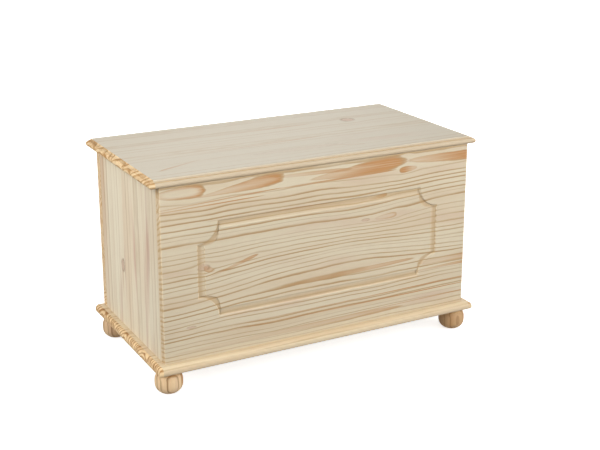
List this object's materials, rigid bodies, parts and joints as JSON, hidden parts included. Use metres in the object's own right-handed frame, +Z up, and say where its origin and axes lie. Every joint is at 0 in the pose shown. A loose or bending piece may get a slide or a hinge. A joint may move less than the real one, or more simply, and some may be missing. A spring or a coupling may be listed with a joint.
{
  "type": "toy box",
  "caption": "Rectangular wooden toy chest on turned ball feet, with a moulded hinged lid, a moulded base board and a routed panel groove on the front.",
  "frame": {"origin": "on the floor, under the middle of the bounding box", "axes": "+X along the width to the box's right seen from the front, +Y towards the back, +Z up"},
  "size_m": [0.8, 0.414, 0.4739],
  "materials": {
    "pine_panel": "bare sanded pine, horizontal grain",
    "pine_side": "bare sanded pine, upright grain",
    "pine_lid": "bare sanded pine, pale",
    "pine_base": "bare sanded pine",
    "pine_foot": "bare turned pine, darker",
    "beech": "ribbed beech dowel",
    "brass": "brass-plated",
    "steel": "zinc-plated"
  },
  "bodies": {
    "chest": {"back_panel": "pine_panel", "base_board": "pine_base", "base_screw_back_left": "steel", "base_screw_back_middle": "steel", "base_screw_back_right": "steel", "base_screw_front_left": "steel", "base_screw_front_middle": "steel", "base_screw_front_right": "steel", "base_screw_left": "steel", "base_screw_right": "steel", "dowel_back_left_high": "beech", "dowel_back_left_low": "beech", "dowel_back_right_high": "beech", "dowel_back_right_low": "beech", "dowel_front_left_high": "beech", "dowel_front_left_low": "beech", "dowel_front_right_high": "beech", "dowel_front_right_low": "beech", "foot_back_left": "pine_foot", "foot_back_right": "pine_foot", "foot_front_left": "pine_foot", "foot_front_right": "pine_foot", "foot_stud_back_left": "steel", "foot_stud_back_right": "steel", "foot_stud_front_left": "steel", "foot_stud_front_right": "steel", "front_panel": "pine_panel", "hinge_left_fixed_leaf": "brass", "hinge_left_fixed_screw_1": "brass", "hinge_left_fixed_screw_2": "brass", "hinge_left_pin": "brass", "hinge_right_fixed_leaf": "brass", "hinge_right_fixed_screw_1": "brass", "hinge_right_fixed_screw_2": "brass", "hinge_right_pin": "brass", "left_panel": "pine_side", "right_panel": "pine_side", "stay_stud": "steel"},
    "lid": {"batten_left_screw_1": "steel", "batten_left_screw_2": "steel", "batten_left_screw_3": "steel", "batten_right_screw_1": "steel", "batten_right_screw_2": "steel", "batten_right_screw_3": "steel", "hinge_left_moving_leaf": "brass", "hinge_left_moving_screw_1": "brass", "hinge_left_moving_screw_2": "brass", "hinge_right_moving_leaf": "brass", "hinge_right_moving_screw_1": "brass", "hinge_right_moving_screw_2": "brass", "lid_batten_left": "pine_side", "lid_batten_right": "pine_side", "lid_board": "pine_lid", "stay_bracket": "steel", "stay_bracket_screw_1": "steel", "stay_bracket_screw_2": "steel", "stay_rivet": "steel"},
    "stay": {"stay_arm": "steel"}
  },
  "joints": [
    {"name": "lid_hinge", "type": "hinge", "parent": "chest", "child": "lid", "pos_m": [0, 0.1975, 0.45775], "axis": [-1, 0, 0], "range_deg": [0, 95]},
    {"name": "stay_pivot", "type": "hinge", "parent": "lid", "child": "stay", "pos_m": [0.3552, 0.04798, 0.44575], "axis": [1, 0, 0], "range_deg": [0, 47.5]}
  ],
  "couplings": [
    {"joint": "stay_pivot", "follows": "lid_hinge", "ratio": 0.5}
  ]
}
